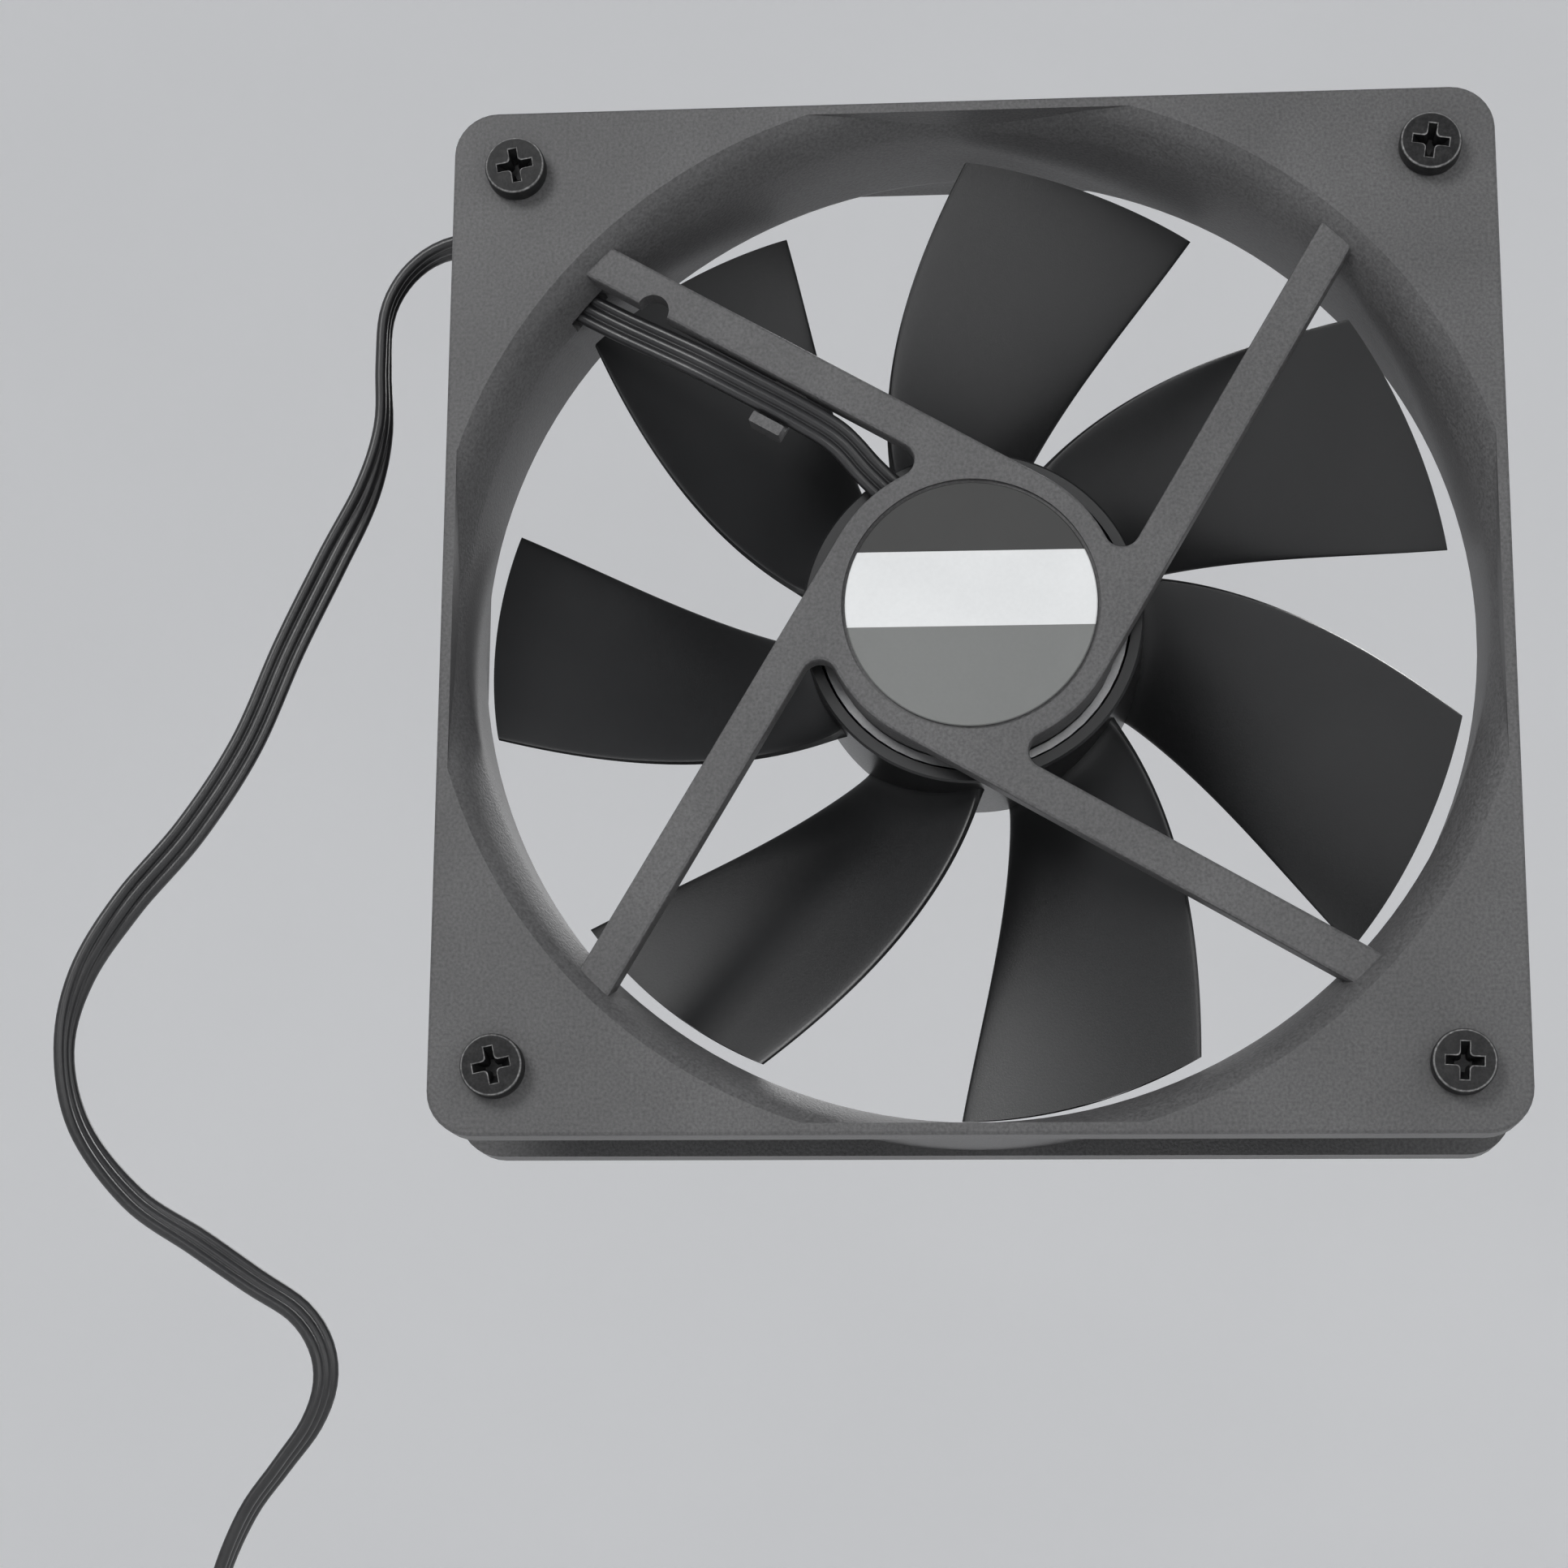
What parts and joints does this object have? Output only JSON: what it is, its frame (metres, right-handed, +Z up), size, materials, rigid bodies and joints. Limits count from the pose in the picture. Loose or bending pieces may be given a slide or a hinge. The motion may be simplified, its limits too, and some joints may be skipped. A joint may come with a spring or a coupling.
{
  "type": "case fan",
  "caption": "Square axial case fan with a swept impeller on a sleeve bearing, slanted struts, screws at its corners and a flat lead with a plug.",
  "frame": {"origin": "rotor axis in the plane of the exhaust face", "axes": "+Y from the exhaust face to the intake face along the rotor axis, +Z up, +X to the right seen from the exhaust side"},
  "size_m": [0.1654, 0.0273, 0.2246],
  "materials": {
    "frame_plastic": "fine spark-eroded texture",
    "blade_plastic": "satin moulded",
    "label_paper": "coated paper",
    "steel": "drawn steel",
    "magnet": "bonded ferrite",
    "nylon": "natural nylon",
    "brass": "turned",
    "bronze": "sintered",
    "board": "solder mask",
    "chip": "moulded epoxy",
    "ceramic": "fired ceramic",
    "lead": "satin PVC",
    "tie": "moulded",
    "plug_plastic": "moulded",
    "copper": "enamelled copper",
    "tin": "tinned",
    "screw_black": "black oxide"
  },
  "bodies": {
    "frame_body": {"bearing_tube": "brass", "board_capacitor": "ceramic", "board_resistor": "chip", "circuit_board": "board", "frame": "frame_plastic", "hall_driver_chip": "chip", "hub_label": "label_paper", "insulator_lower": "nylon", "insulator_upper": "nylon", "lead_coil": "lead", "lead_connector": "plug_plastic", "lead_free": "lead", "lead_inner": "lead", "lead_terminal_1": "tin", "lead_terminal_2": "tin", "lead_terminal_3": "tin", "lead_tie": "tie", "screw_bottom_left": "screw_black", "screw_bottom_right": "screw_black", "screw_top_left": "screw_black", "screw_top_right": "screw_black", "sleeve_bearing": "bronze", "stator_core": "steel", "thrust_cap": "nylon", "winding_1": "copper", "winding_2": "copper", "winding_3": "copper", "winding_4": "copper"},
    "rotor": {"impeller": "blade_plastic", "rotor_yoke": "steel", "rotor_magnet": "magnet", "rotor_shaft": "steel", "oil_slinger": "nylon", "retaining_clip": "nylon"}
  },
  "joints": [
    {"name": "rotor_spin", "type": "hinge", "parent": "frame_body", "child": "rotor", "pos_m": [0, 0, 0], "axis": [0, 1, 0], "continuous": true}
  ]
}
